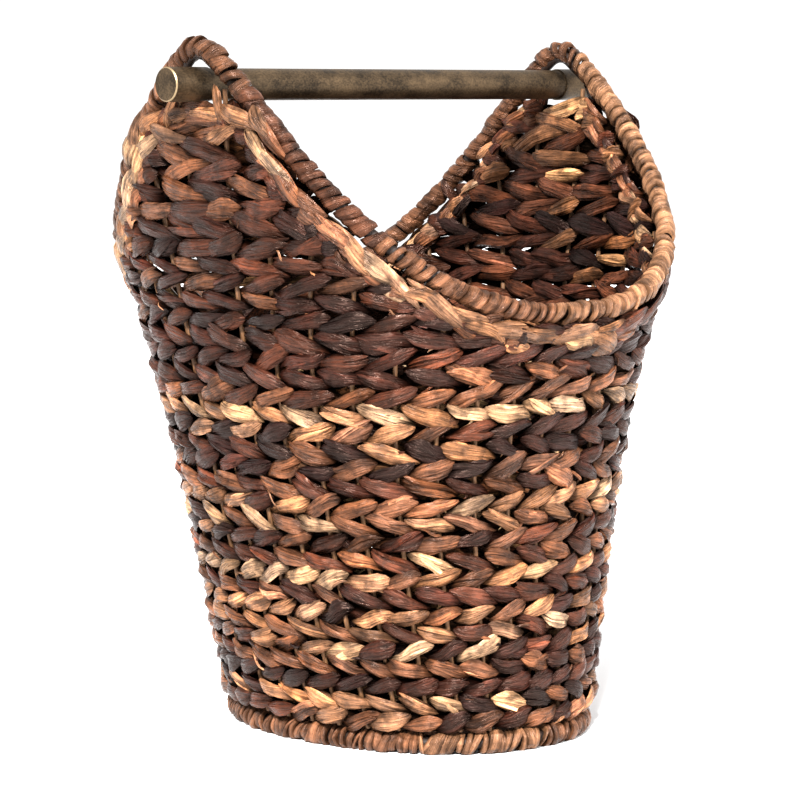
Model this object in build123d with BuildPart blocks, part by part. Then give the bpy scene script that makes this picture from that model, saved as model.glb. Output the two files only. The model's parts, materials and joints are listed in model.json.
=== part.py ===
"""Woven leaf basket with a saddle rim, two raised ears and a pull-out metal pole.

Millimetres, +Z up. The origin is on the ground under the middle of the basket, +X runs
along the pole and +Y across it.
"""

import os
from bisect import bisect_right
from math import atan2, ceil, copysign, cos, dist, pi, sin, sqrt

from build123d import *

# Plan outline, a rounded oval that widens with height
PEAK_HEIGHT = 423.5  # centreline of the rim at the top of each ear
BASE_HALF_X = 86.0
FLARE_X = 119.8
FLARE_X_EASE = -49.2
BASE_HALF_Y = 124.5
FLARE_Y = 143.9
FLARE_Y_POWER = 3.46
OVAL_POWER_LOW = 2.1
OVAL_POWER_HIGH = 2.75

# Rim: the height drops from each ear to the middle of each long side
RIM_SLOPE = 1.116
PEAK_ROUNDING = 16.8
EAR_CROWN = 8.2
RIM_CORE_RADIUS = 3.6
RIM_RADIUS = 6.0
RIM_POINTS = 44
RIM_BEND = 14.0

# Base hoop and woven floor
HOOP_CORE_RADIUS = 3.6
HOOP_RADIUS = 7.0
HOOP_FLAT = 0.6  # depth of the flat worn on the underside of the hoop
HOOP_HEIGHT = HOOP_RADIUS - HOOP_FLAT
FLOOR_STICK_RADIUS = 1.5
FLOOR_STICKS = 7
FLOOR_STICK_PITCH = 24.0
FLOOR_ROW_THICKNESS = 3.0
FLOOR_ROWS = 20
FLOOR_ROW_SHORTEST = 24.0
FLOOR_ROW_GAP = 0.4
FLOOR_STICK_GAP = 0.05  # between a stick and the rows over and under it
FLOOR_END_GAP = 0.5
FLOOR_EDGE_GAP = 0.6  # between the hoop and the floor

# Wall: uprights and the paired strands woven round them
STAKES = 36
STAKE_RADIUS = 1.5
STAKE_STEP = 22.0
STAKE_FOOT_GAP = 0.3
STAKE_HEAD_GAP = 3.0
STAKE_LEVEL = 250.0  # height at which the stakes are the same distance apart
STAKE_SAMPLES = 720
STAKE_ROOM = 4.4  # space between the outer and the inner strand
STRAND_THICKNESS = 3.4
COURSES = 34
COURSE_PITCH = 11.0
COURSE_HEIGHT = 10.6
FIRST_COURSE_BOTTOM = 14.6
EAR_END_TURN = 0.02  # least angle between a strand's end and its last stake
RIM_ROOM = 1.0  # space under the rim rope, where courses and stakes end

# Border braid that follows the outside of the rim, just under it
BORDER_RADIUS = 2.6
BORDER_DROP = 14.0
BORDER_OUT = 9.4
BORDER_POINTS = 15
BORDER_BEND = 12.0
BORDER_START = 0.035  # share of the way round between an ear's middle and the strand's end

# Pole: a tube with a cap over each end
POLE_HEIGHT = 401.7
POLE_HALF_SPAN = 182.0
POLE_RADIUS = 9.5
POLE_BORE_RADIUS = 8.3
CAP_RADIUS = 10.2
CAP_LENGTH = 30.0
CAP_END = 2.0
CAP_CLEARANCE = 0.05
CAP_CHAMFER = 0.8


def half_widths(height: float) -> tuple[float, float, float]:
    """Half width in X, half width in Y and the power of the oval at a height."""
    share = height / PEAK_HEIGHT
    half_x = BASE_HALF_X + FLARE_X * share + FLARE_X_EASE * share**2
    half_y = BASE_HALF_Y + FLARE_Y * share**FLARE_Y_POWER
    return half_x, half_y, OVAL_POWER_LOW + (OVAL_POWER_HIGH - OVAL_POWER_LOW) * share


def wall_point(turn: float, height: float, out: float = 0.0) -> tuple[float, float]:
    """A point of the wall's middle line at an angle of turn, moved outward by out."""
    half_x, half_y, power = half_widths(height)
    reach = 2.0 / power
    c, s = cos(turn), sin(turn)
    x = half_x * abs(c) ** reach * (1 if c >= 0 else -1)
    y = half_y * abs(s) ** reach * (1 if s >= 0 else -1)
    # gradient of the oval's equation gives the outward direction
    nx = abs(x / half_x) ** (power - 1) / half_x * (1 if c >= 0 else -1)
    ny = abs(y / half_y) ** (power - 1) / half_y * (1 if s >= 0 else -1)
    size = sqrt(nx * nx + ny * ny)
    return x + out * nx / size, y + out * ny / size


def rim_height(turn: float) -> float:
    """Height of the rim's centreline at an angle of turn, found by repeated substitution."""
    height = 0.75 * PEAK_HEIGHT
    for _ in range(40):
        half_x = half_widths(height)[0]
        x, y = wall_point(turn, height)
        drop = RIM_SLOPE * (sqrt(y * y + PEAK_ROUNDING**2) - PEAK_ROUNDING)
        height = 0.5 * height + 0.5 * (PEAK_HEIGHT - drop - EAR_CROWN * (1 - (x / half_x) ** 2))
    return height


def rim_underside(turn: float) -> float:
    """Height just under the rim rope, where a course or a stake may end."""
    step = 0.02
    before, after = rim_height(turn - step), rim_height(turn + step)
    x0, y0 = wall_point(turn - step, before)
    x1, y1 = wall_point(turn + step, after)
    slope = (after - before) / sqrt((x1 - x0) ** 2 + (y1 - y0) ** 2)
    return rim_height(turn) - (RIM_RADIUS + RIM_ROOM) * sqrt(1 + slope * slope)


def even_turn(share: float) -> float:
    """Angle for a share of the way round, so that equal shares are nearly equal lengths."""
    angle = 2 * pi * share
    return angle - 0.13 * sin(2 * angle)


def rising_turn(turn: float, height: float) -> float:
    """Angle, at a height, of the upright line that has an angle of turn at STAKE_LEVEL.

    Along such a line x and y keep their shares of the two half widths.
    """
    ratio = half_widths(height)[2] / half_widths(STAKE_LEVEL)[2]
    c, s = cos(turn), sin(turn)
    return atan2(copysign(abs(s) ** ratio, s), copysign(abs(c) ** ratio, c))


def spaced_turns(count: int) -> list[float]:
    """Angles at STAKE_LEVEL that are the same length of wall apart, half a space off +X."""
    angles = [2 * pi * i / STAKE_SAMPLES for i in range(STAKE_SAMPLES + 1)]
    spots = [wall_point(angle, STAKE_LEVEL) for angle in angles]
    lengths = [0.0]
    for before, after in zip(spots, spots[1:]):
        lengths.append(lengths[-1] + dist(before, after))
    turns = []
    for i in range(count):
        goal = lengths[-1] * (i + 0.5) / count
        at = bisect_right(lengths, goal) - 1
        share = (goal - lengths[at]) / (lengths[at + 1] - lengths[at])
        turns.append(angles[at] + share * (angles[at + 1] - angles[at]))
    return turns


def loft_outlines(sections: list[tuple[float, list]]) -> Part:
    """Ruled solid through closed outlines, each given as its height and its points."""
    with BuildPart() as solid:
        for height, points in sections:
            with BuildSketch(Plane.XY.offset(height)):
                with BuildLine():
                    Polyline(*points, close=True)
                make_face()
        loft(ruled=True)
    return solid.part


def save(name: BuildPart, label: str) -> None:
    """Label a finished piece and write it out."""
    name.part.label = label
    export_step(name.part, f"parts/{label}.step")


os.makedirs("parts", exist_ok=True)

STAKE_TURNS = spaced_turns(STAKES)

# ---------------------------------------------------------------- rim and hoops


def closed_rope(points: list, outer: float, inner: float) -> BuildPart:
    """A round rope along a closed path of straight runs joined by arcs, hollow if inner > 0."""
    with BuildPart() as rope:
        with BuildLine() as path:
            FilletPolyline(*points, radius=RIM_BEND, close=True)
        start = path.line @ 0
        along = path.line % 0
        with BuildSketch(Plane(origin=start, z_dir=along)):
            Circle(outer)
            if inner > 0:
                Circle(inner, mode=Mode.SUBTRACT)
        sweep()
    return rope


def rim_points() -> list:
    """Corners of the rim's path all the way round."""
    corners = []
    for i in range(RIM_POINTS):
        turn = even_turn(i / RIM_POINTS)
        height = rim_height(turn)
        x, y = wall_point(turn, height)
        corners.append((x, y, height))
    return corners


def hoop_points() -> list:
    """Corners of the base hoop's path."""
    turns = [even_turn(i / RIM_POINTS) for i in range(RIM_POINTS)]
    return [(*wall_point(turn, HOOP_HEIGHT), HOOP_HEIGHT) for turn in turns]


rim_core = closed_rope(rim_points(), RIM_CORE_RADIUS, 0)
save(rim_core, "rim_core")

rim_wrap = closed_rope(rim_points(), RIM_RADIUS, RIM_CORE_RADIUS)
save(rim_wrap, "rim_wrap")

base_hoop_core = closed_rope(hoop_points(), HOOP_CORE_RADIUS, 0)
save(base_hoop_core, "base_hoop_core")

with BuildPart() as base_hoop_wrap:
    add(closed_rope(hoop_points(), HOOP_RADIUS, HOOP_CORE_RADIUS).part)
    split(bisect_by=Plane.XY, keep=Keep.TOP)
save(base_hoop_wrap, "base_hoop_wrap")

# ---------------------------------------------------------------- floor


def floor_reach(across: float, height: float, inset: float) -> float:
    """Half length in Y of the floor at a distance across in X."""
    half_x, half_y, power = half_widths(height)
    share = min(abs(across) / (half_x - inset), 1.0)
    return (half_y - inset) * (1 - share**power) ** (1 / power)


FLOOR_HEIGHT = HOOP_HEIGHT
FLOOR_INSET = HOOP_RADIUS + FLOOR_EDGE_GAP
FLOOR_ROW_PITCH = 2 * (BASE_HALF_X - FLOOR_INSET) / FLOOR_ROWS

with BuildPart() as floor_sticks:
    for i in range(FLOOR_STICKS):
        y = (i - (FLOOR_STICKS - 1) / 2) * FLOOR_STICK_PITCH
        half_x, half_y, power = half_widths(FLOOR_HEIGHT)
        reach = (half_x - FLOOR_INSET) * (1 - (abs(y) / (half_y - FLOOR_INSET)) ** power) ** (1 / power)
        with Locations(Location((0, y, FLOOR_HEIGHT), (0, 90, 0))):
            Cylinder(FLOOR_STICK_RADIUS, 2 * (reach - FLOOR_END_GAP))
save(floor_sticks, "floor_sticks")

with BuildPart() as floor_rows:
    for i in range(FLOOR_ROWS):
        x = (i - (FLOOR_ROWS - 1) / 2) * FLOOR_ROW_PITCH
        edge = abs(x) + FLOOR_ROW_PITCH / 2
        reach = floor_reach(edge, FLOOR_HEIGHT, FLOOR_INSET)
        if 2 * reach < FLOOR_ROW_SHORTEST:
            continue
        for side in (-1, 1):
            level = FLOOR_HEIGHT + side * (FLOOR_STICK_RADIUS + FLOOR_ROW_THICKNESS / 2 + FLOOR_STICK_GAP)
            with Locations((x, 0, level)):
                Box(FLOOR_ROW_PITCH - FLOOR_ROW_GAP, 2 * reach, FLOOR_ROW_THICKNESS)
save(floor_rows, "floor_rows")

# ---------------------------------------------------------------- stakes


def stake_heights(turn: float) -> list[float]:
    """Heights of a stake's sections, from just over the hoop to just under the rim."""
    low = HOOP_HEIGHT + HOOP_RADIUS + STAKE_FOOT_GAP
    high = STAKE_LEVEL
    for _ in range(20):
        high = rim_underside(rising_turn(turn, high)) - STAKE_HEAD_GAP
    spans = ceil((high - low) / STAKE_STEP)
    return [low + (high - low) * i / spans for i in range(spans + 1)]


def make_stake(turn: float) -> Part:
    """One upright, a ruled loft through round sections."""
    with BuildPart() as stake:
        for height in stake_heights(turn):
            with BuildSketch(Plane.XY.offset(height)):
                with Locations(wall_point(rising_turn(turn, height), height)):
                    Circle(STAKE_RADIUS)
        loft(ruled=True)
    return stake.part


for number, side in enumerate(("right", "back", "left", "front")):
    quarter = STAKES // 4
    first = number * quarter - quarter // 2
    turns = [STAKE_TURNS[(first + i) % STAKES] for i in range(quarter)]
    with BuildPart() as stakes:
        for turn in turns:
            add(make_stake(turn))
    save(stakes, f"stakes_{side}")

# ---------------------------------------------------------------- courses


def ear_turn(height: float) -> float:
    """Largest angle from an ear's middle at which the wall still reaches a height."""
    low, high = 0.0, pi / 2
    for _ in range(40):
        middle = (low + high) / 2
        if rim_underside(middle) > height:
            low = middle
        else:
            high = middle
    return low


def ring_outline(height: float, out: float) -> tuple[float, list]:
    """Closed outline through the stake angles at a height."""
    return height, [wall_point(rising_turn(turn, height), height, out) for turn in STAKE_TURNS]


def ear_turns(height: float, middle: float) -> list[float]:
    """Angles of one strand's corners over an ear: its two ends and the stakes between them."""
    half = ear_turn(height)
    offsets = [(rising_turn(turn, height) - middle + pi) % (2 * pi) - pi for turn in STAKE_TURNS]
    inside = sorted(offset for offset in offsets if abs(offset) < half - EAR_END_TURN)
    return [middle + offset for offset in (-half, *inside, half)]


def ear_outline(height: float, turns: list[float], near: float, far: float) -> tuple[float, list]:
    """Closed outline of one strand's arc over an ear, between two offsets from the wall line."""
    outer = [wall_point(turn, height, far) for turn in turns]
    inner = [wall_point(turn, height, near) for turn in reversed(turns)]
    return height, outer + inner


def make_course(bottom: float) -> BuildPart:
    """The outer and the inner strand of one course, as rings or as arcs over both ears."""
    top = bottom + COURSE_HEIGHT
    dip = rim_underside(pi / 2)
    near = STAKE_ROOM / 2
    far = near + STRAND_THICKNESS
    strands = ((near, far), (-far, -near))
    with BuildPart() as course:
        if top < dip:
            for inner, outer in strands:
                shell = loft_outlines([ring_outline(level, outer) for level in (bottom, top)])
                core = loft_outlines([ring_outline(level, inner) for level in (bottom, top)])
                add(shell - core)
        else:
            for middle in (0.0, pi):
                turns = ear_turns(top, middle)
                for inner, outer in strands:
                    ends = [ear_outline(level, turns, inner, outer) for level in (bottom, top)]
                    add(loft_outlines(ends))
    return course


for number in range(COURSES):
    course = make_course(FIRST_COURSE_BOTTOM + number * COURSE_PITCH)
    save(course, f"course_{number + 1:02d}")

# ---------------------------------------------------------------- border strands


def border_points(side: int) -> list:
    """Corners of the border strand's path along one side, ear to ear."""
    corners = []
    for i in range(BORDER_POINTS):
        share = BORDER_START + (0.5 - 2 * BORDER_START) * i / (BORDER_POINTS - 1)
        turn = side * even_turn(share)
        height = rim_height(turn) - BORDER_DROP
        x, y = wall_point(turn, height, BORDER_OUT)
        corners.append((x, y, height))
    return corners


for side, name in ((1, "back"), (-1, "front")):
    with BuildPart() as border:
        with BuildLine() as path:
            FilletPolyline(*border_points(side), radius=BORDER_BEND)
        with BuildSketch(Plane(origin=path.line @ 0, z_dir=path.line % 0)):
            Circle(BORDER_RADIUS)
        sweep()
    save(border, f"border_strand_{name}")

# ---------------------------------------------------------------- pole

POLE_LENGTH = 2 * (POLE_HALF_SPAN - CAP_END)
with BuildPart() as pole:
    with Locations(Location((0, 0, POLE_HEIGHT), (0, 90, 0))):
        Cylinder(POLE_RADIUS, POLE_LENGTH)
        Cylinder(POLE_BORE_RADIUS, POLE_LENGTH, mode=Mode.SUBTRACT)
save(pole, "pole")

for side, name in ((-1, "left"), (1, "right")):
    with BuildPart() as cap:
        with BuildSketch(Plane(origin=(side * POLE_HALF_SPAN, 0, POLE_HEIGHT), z_dir=(-side, 0, 0))):
            Circle(CAP_RADIUS)
        extrude(amount=CAP_LENGTH)
        end_edge = cap.edges().sort_by(Axis.X)[0 if side < 0 else -1]
        chamfer(end_edge, CAP_CHAMFER)
        inside = side * (POLE_HALF_SPAN - CAP_END)
        with BuildSketch(Plane(origin=(inside, 0, POLE_HEIGHT), z_dir=(-side, 0, 0))):
            Circle(POLE_RADIUS + CAP_CLEARANCE)
        extrude(amount=CAP_LENGTH, mode=Mode.SUBTRACT)
    save(cap, f"{name}_end_cap")
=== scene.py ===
"""Dresses a woven leaf basket: twined leaf courses, bound rim and foot, floor and metal pole.

Metres, +Z up, ears toward -X and +X. Every leaf, wrap and strand follows one wall formula, so
the looks sit exactly where the plain solids sit.
"""

import json
import logging
import math
from dataclasses import dataclass, field, replace
from enum import Enum

import bmesh
import bpy
import numpy as np
from mathutils import Matrix, Vector


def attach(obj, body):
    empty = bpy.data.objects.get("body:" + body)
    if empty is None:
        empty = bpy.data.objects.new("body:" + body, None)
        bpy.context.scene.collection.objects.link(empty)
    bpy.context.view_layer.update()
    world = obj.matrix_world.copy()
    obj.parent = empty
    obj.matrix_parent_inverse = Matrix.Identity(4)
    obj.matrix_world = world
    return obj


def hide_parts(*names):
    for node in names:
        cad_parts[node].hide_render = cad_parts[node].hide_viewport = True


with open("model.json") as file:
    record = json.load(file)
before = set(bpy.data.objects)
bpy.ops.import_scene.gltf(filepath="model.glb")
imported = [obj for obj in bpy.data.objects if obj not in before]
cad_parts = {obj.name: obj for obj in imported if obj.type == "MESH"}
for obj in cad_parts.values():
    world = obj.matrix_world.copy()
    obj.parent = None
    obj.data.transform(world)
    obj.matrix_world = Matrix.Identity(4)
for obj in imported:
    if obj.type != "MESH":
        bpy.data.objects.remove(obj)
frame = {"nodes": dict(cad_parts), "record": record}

log = logging.getLogger("basket")
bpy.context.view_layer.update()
Colour = tuple[float, float, float]
Span = tuple[float, float]
Tree = bpy.types.NodeTree
Socket = bpy.types.NodeSocket


class LeafColour(Enum):
    """Colours of dried leaf, from sun-bleached to nearly black."""

    PALE = (0.375, 0.225, 0.126)
    GOLD = (0.262, 0.128, 0.064)
    RUSSET = (0.148, 0.0610, 0.0295)
    UMBER = (0.064, 0.0200, 0.0100)
    PLUM = (0.030, 0.0086, 0.0050)
    BLACK = (0.0105, 0.0033, 0.0028)


class Tone(Enum):
    """How often each leaf colour comes up in a course, in the order of LeafColour."""

    PALE_ROW = (0.58, 0.32, 0.08, 0.02, 0.00, 0.00)
    TAN_ROW = (0.40, 0.54, 0.06, 0.00, 0.00, 0.00)
    HONEY_ROW = (0.24, 0.52, 0.24, 0.00, 0.00, 0.00)
    GOLD_ROW = (0.16, 0.40, 0.26, 0.10, 0.06, 0.02)
    BARK_ROW = (0.03, 0.20, 0.62, 0.13, 0.02, 0.00)
    RUSSET_ROW = (0.04, 0.20, 0.50, 0.18, 0.06, 0.02)
    MIXED_ROW = (0.05, 0.22, 0.20, 0.16, 0.19, 0.18)
    BROWN_ROW = (0.01, 0.05, 0.17, 0.45, 0.25, 0.07)
    DARK_ROW = (0.00, 0.04, 0.10, 0.28, 0.38, 0.20)
    BLACK_ROW = (0.01, 0.05, 0.04, 0.10, 0.30, 0.50)


# One tone for each course, from the foot up.
COURSE_TONES = (
    Tone.RUSSET_ROW, Tone.GOLD_ROW, Tone.DARK_ROW, Tone.RUSSET_ROW, Tone.RUSSET_ROW, Tone.GOLD_ROW,
    Tone.MIXED_ROW, Tone.RUSSET_ROW, Tone.PALE_ROW, Tone.RUSSET_ROW, Tone.BROWN_ROW, Tone.GOLD_ROW,
    Tone.GOLD_ROW, Tone.MIXED_ROW, Tone.BLACK_ROW, Tone.BROWN_ROW, Tone.DARK_ROW, Tone.PALE_ROW,
    Tone.RUSSET_ROW, Tone.DARK_ROW, Tone.BLACK_ROW, Tone.DARK_ROW, Tone.DARK_ROW, Tone.BROWN_ROW,
    Tone.DARK_ROW, Tone.BROWN_ROW, Tone.DARK_ROW, Tone.BROWN_ROW, Tone.BROWN_ROW, Tone.DARK_ROW,
    Tone.BROWN_ROW, Tone.BROWN_ROW, Tone.RUSSET_ROW, Tone.BROWN_ROW,
)
# Tones round the rim and round the foot, in twelve equal parts from +X, anticlockwise from above.
RIM_TONES = (
    Tone.BARK_ROW, Tone.RUSSET_ROW, Tone.BARK_ROW, Tone.RUSSET_ROW, Tone.BARK_ROW, Tone.RUSSET_ROW,
    Tone.BROWN_ROW, Tone.BARK_ROW, Tone.GOLD_ROW, Tone.HONEY_ROW, Tone.HONEY_ROW, Tone.BARK_ROW,
)
FOOT_TONES = (
    Tone.BROWN_ROW, Tone.RUSSET_ROW, Tone.GOLD_ROW, Tone.BROWN_ROW, Tone.RUSSET_ROW, Tone.GOLD_ROW,
    Tone.RUSSET_ROW, Tone.GOLD_ROW, Tone.RUSSET_ROW, Tone.GOLD_ROW, Tone.BROWN_ROW, Tone.BLACK_ROW,
)

LEAF_CHART = np.array([colour.value for colour in LeafColour])
STRAND_CHANGE = 0.42
LEAF_SPREAD = 0.30
WARMTH_SPREAD = 0.07
BRIGHTEST_LEAF = 0.43
BRIGHTEST_WRAP = 0.40
SMOOTH_ANGLE = math.radians(32)
FOOT_LEVEL = 0.0064


@dataclass(frozen=True)
class WallShape:
    """Plan oval that widens with height, and the saddle line of the rim."""

    peak: float = 0.4235
    base_x: float = 0.086
    flare_x: float = 0.1198
    ease_x: float = -0.0492
    base_y: float = 0.1245
    flare_y: float = 0.1439
    power_y: float = 3.46
    oval_low: float = 2.1
    oval_high: float = 2.75
    rim_slope: float = 1.116
    peak_rounding: float = 0.0168
    ear_crown: float = 0.0082
    stake_level: float = 0.250
    rim_rounds: int = 40
    samples: int = 721

    def half_widths(self, height: np.ndarray) -> tuple[np.ndarray, np.ndarray, np.ndarray]:
        """Half width in X, half width in Y and power of the oval at each height."""
        share = np.maximum(np.asarray(height, float) / self.peak, 0.0)
        half_x = self.base_x + self.flare_x * share + self.ease_x * share**2
        half_y = self.base_y + self.flare_y * share**self.power_y
        return half_x, half_y, self.oval_low + (self.oval_high - self.oval_low) * share

    def point(self, turn: np.ndarray, height: np.ndarray, out: np.ndarray | float = 0.0) -> np.ndarray:
        """Points of the wall.

        Args:
            turn: angles round the basket, from +X, anticlockwise from above.
            height: heights over the floor.
            out: distance outward from the wall's middle surface.

        Returns:
            An array of points with one more axis of length 3.
        """
        turn, height, out = np.broadcast_arrays(turn, height, out)
        half_x, half_y, power = self.half_widths(height)
        c, s = np.cos(turn), np.sin(turn)
        reach = 2.0 / power
        x = half_x * np.abs(c) ** reach * np.sign(c)
        y = half_y * np.abs(s) ** reach * np.sign(s)
        nx = np.abs(x / half_x) ** (power - 1) / half_x * np.sign(c)
        ny = np.abs(y / half_y) ** (power - 1) / half_y * np.sign(s)
        size = np.sqrt(nx * nx + ny * ny) + 1e-12
        return np.stack([x + out * nx / size, y + out * ny / size, height], axis=-1)

    def rim_height(self, turn: np.ndarray) -> np.ndarray:
        """Height of the rim's centreline at each angle, by repeated substitution."""
        turn = np.asarray(turn, float)
        height = np.full(turn.shape, 0.75 * self.peak)
        for _ in range(self.rim_rounds):
            half_x = self.half_widths(height)[0]
            spot = self.point(turn, height)
            x, y = spot[..., 0], spot[..., 1]
            drop = self.rim_slope * (np.sqrt(y * y + self.peak_rounding**2) - self.peak_rounding)
            target = self.peak - drop - self.ear_crown * (1 - (x / half_x) ** 2)
            height = 0.5 * height + 0.5 * target
        return height

    def speed(self, turn: np.ndarray, height: np.ndarray) -> np.ndarray:
        """Length along the wall for each radian of turn."""
        step = 0.01
        gap = self.point(turn + step, height) - self.point(turn - step, height)
        return np.linalg.norm(gap, axis=-1) / (2 * step)

    def rising_turn(self, turn: np.ndarray, height: float) -> np.ndarray:
        """Angles, at a height, of the upright lines that have given angles at the stakes' level."""
        ratio = float(self.half_widths(height)[2] / self.half_widths(self.stake_level)[2])
        c, s = np.cos(turn), np.sin(turn)
        return np.arctan2(np.abs(s) ** ratio * np.sign(s), np.abs(c) ** ratio * np.sign(c))

    def spaced_turns(self, count: int) -> np.ndarray:
        """Angles at the stakes' level that are the same length of wall apart."""
        angles = np.linspace(0.0, 2 * math.pi, self.samples)
        spots = self.point(angles, self.stake_level)
        lengths = np.concatenate([[0.0], np.cumsum(np.linalg.norm(np.diff(spots, axis=0), axis=1))])
        return np.interp((np.arange(count) + 0.5) / count * lengths[-1], lengths, angles)

    def even_turn(self, share: np.ndarray) -> np.ndarray:
        """Angle for a share of the way round, so that equal shares are nearly equal lengths."""
        angle = 2 * math.pi * np.asarray(share, float)
        return angle - 0.13 * np.sin(2 * angle)


WALL = WallShape()


def clear_selection() -> None:
    """Deselect every object."""
    if bpy.context.mode != "OBJECT":
        bpy.ops.object.mode_set(mode="OBJECT")
    bpy.ops.object.select_all(action="DESELECT")


def select_ring(obj: bpy.types.Object, place: float) -> None:
    """Select the vertices of an edit-mode mesh that lie at one place along X."""
    bpy.ops.mesh.select_mode(type="VERT")
    bpy.ops.mesh.select_all(action="DESELECT")
    mesh = bmesh.from_edit_mesh(obj.data)
    for vert in mesh.verts:
        vert.select = abs(vert.co.x - place) < 1e-4
    mesh.select_flush(True)
    bmesh.update_edit_mesh(obj.data)


@dataclass
class Pattern:
    """One modelled shape as arrays, ready to be copied many times."""

    points: np.ndarray
    faces: list[list[int]]

    @classmethod
    def take(cls, obj: bpy.types.Object) -> "Pattern":
        """Read a modelled object into arrays and remove it.

        Args:
            obj: the finished object.

        Returns:
            Its points and faces.
        """
        mesh = obj.data
        points = np.zeros(len(mesh.vertices) * 3)
        mesh.vertices.foreach_get("co", points)
        faces = [list(face.vertices) for face in mesh.polygons]
        bpy.data.objects.remove(obj)
        bpy.data.meshes.remove(mesh)
        return cls(points.reshape(-1, 3), faces)


def model_leaf() -> Pattern:
    """Model one stitch of leaf: a flat lens, two units long, pointed at both ends.

    Returns:
        The leaf along X, its half width and half thickness near 1.
    """
    clear_selection()
    bpy.ops.mesh.primitive_cylinder_add(vertices=8, radius=1.0, depth=2.0, end_fill_type="NGON")
    leaf = bpy.context.object
    bpy.ops.object.mode_set(mode="EDIT")
    bpy.ops.mesh.select_all(action="SELECT")
    bpy.ops.transform.rotate(value=math.pi / 2, orient_axis="Y", center_override=(0, 0, 0))
    stations = ((-1.0, 0.16), (-0.74, 0.52), (-0.44, 0.80), (-0.12, 0.96), (0.22, 1.0), (0.56, 0.95),
                (0.84, 0.62), (1.0, 0.16))
    for place, _ in stations[1:-1]:
        bpy.ops.mesh.select_all(action="SELECT")
        bpy.ops.mesh.bisect(plane_co=(place, 0, 0), plane_no=(1, 0, 0))
    for place, width in stations:
        select_ring(leaf, place)
        bpy.ops.transform.resize(value=(1, width, 0.4 + 0.6 * width), center_override=(place, 0, 0))
    bpy.ops.object.mode_set(mode="OBJECT")
    return Pattern.take(leaf)


def model_wrap() -> Pattern:
    """Model one turn of the binding: a flat-sided ring round the Z axis, of radius 1.

    Returns:
        The ring, its half width along Z near 1.
    """
    clear_selection()
    bpy.ops.mesh.primitive_torus_add(
        major_segments=16, minor_segments=6, major_radius=1.0, minor_radius=0.28, generate_uvs=False
    )
    ring = bpy.context.object
    bpy.ops.object.mode_set(mode="EDIT")
    bpy.ops.mesh.select_all(action="SELECT")
    bpy.ops.transform.resize(value=(1, 1, 3.6), center_override=(0, 0, 0))
    bpy.ops.object.mode_set(mode="OBJECT")
    return Pattern.take(ring)


@dataclass
class Batch:
    """Copies of patterns, gathered into one piece with colours and strip coordinates."""

    points: list[np.ndarray] = field(default_factory=list)
    tints: list[np.ndarray] = field(default_factory=list)
    strips: list[np.ndarray] = field(default_factory=list)
    faces: list[list[int]] = field(default_factory=list)
    count: int = 0

    def add(
        self, pattern: Pattern, places: np.ndarray, tints: np.ndarray, strips: np.ndarray, flip: bool
    ) -> None:
        """Add copies of a pattern.

        Args:
            pattern: the shape whose faces are copied.
            places: points of every copy, copies by points by 3.
            tints: colours with painted shade, and openness to light, copies by points by 4.
            strips: position along and across the leaf strip, copies by points by 2.
            flip: whether the faces are turned over.
        """
        copies, size = places.shape[:2]
        loops = [face[::-1] for face in pattern.faces] if flip else pattern.faces
        for copy in range(copies):
            start = self.count + copy * size
            self.faces.extend([start + corner for corner in face] for face in loops)
        self.points.append(places.reshape(-1, 3))
        self.tints.append(tints.reshape(-1, 4))
        self.strips.append(strips.reshape(-1, 2))
        self.count += copies * size

    def build(self, name: str, finish: bpy.types.Material, slot: str, *nodes: str) -> bpy.types.Object:
        """Make the piece.

        Args:
            name: the piece's name.
            finish: its material.
            slot: the record's material slot; not used.
            nodes: the plain solids that it stands for.

        Returns:
            The new object.
        """
        points = np.concatenate(self.points)
        mesh = bpy.data.meshes.new(name)
        mesh.from_pydata(points, [], self.faces)
        tint = mesh.attributes.new("tint", "FLOAT_COLOR", "POINT")
        tint.data.foreach_set("color", np.concatenate(self.tints).astype(np.float32).ravel())
        corners = np.zeros(len(mesh.loops), np.int32)
        mesh.loops.foreach_get("vertex_index", corners)
        strip = mesh.uv_layers.new(name="Strip")
        strip.data.foreach_set("uv", np.concatenate(self.strips)[corners].astype(np.float32).ravel())
        mesh.polygons.foreach_set("use_smooth", np.ones(len(mesh.polygons), bool))
        mesh.materials.append(finish)
        mesh.update()
        piece = bpy.data.objects.new(name, mesh)
        bpy.context.scene.collection.objects.link(piece)
        clear_selection()
        piece.select_set(True)
        bpy.context.view_layer.objects.active = piece
        bpy.ops.object.shade_smooth_by_angle(angle=SMOOTH_ANGLE)
        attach(piece, "basket")
        if nodes:
            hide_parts(*nodes)
        log.info("%s: %d faces", name, len(self.faces))
        return piece


def scaled_noise(
    tree: Tree, source: Socket, scale: Colour, detail: float, roughness: float = 0.5
) -> Socket:
    """Noise over coordinates that are scaled first.

    Args:
        tree: the material's nodes and links.
        source: the coordinates.
        scale: cycles for each metre, along each axis.
        detail: number of finer layers.
        roughness: strength of the finer layers.

    Returns:
        The noise value, from 0 to 1.
    """
    mapping = tree.nodes.new("ShaderNodeMapping")
    mapping.inputs["Scale"].default_value = scale
    tree.links.new(source, mapping.inputs["Vector"])
    noise = tree.nodes.new("ShaderNodeTexNoise")
    noise.inputs["Scale"].default_value = 1.0
    noise.inputs["Detail"].default_value = detail
    noise.inputs["Roughness"].default_value = roughness
    tree.links.new(mapping.outputs["Vector"], noise.inputs["Vector"])
    return noise.outputs["Fac"]


def remapped(tree: Tree, value: Socket, span: Span, target: Span) -> Socket:
    """A value moved from one range to another, and held inside it."""
    ramp = tree.nodes.new("ShaderNodeMapRange")
    ramp.inputs["From Min"].default_value, ramp.inputs["From Max"].default_value = span
    ramp.inputs["To Min"].default_value, ramp.inputs["To Max"].default_value = target
    tree.links.new(value, ramp.inputs["Value"])
    return ramp.outputs["Result"]


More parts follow.
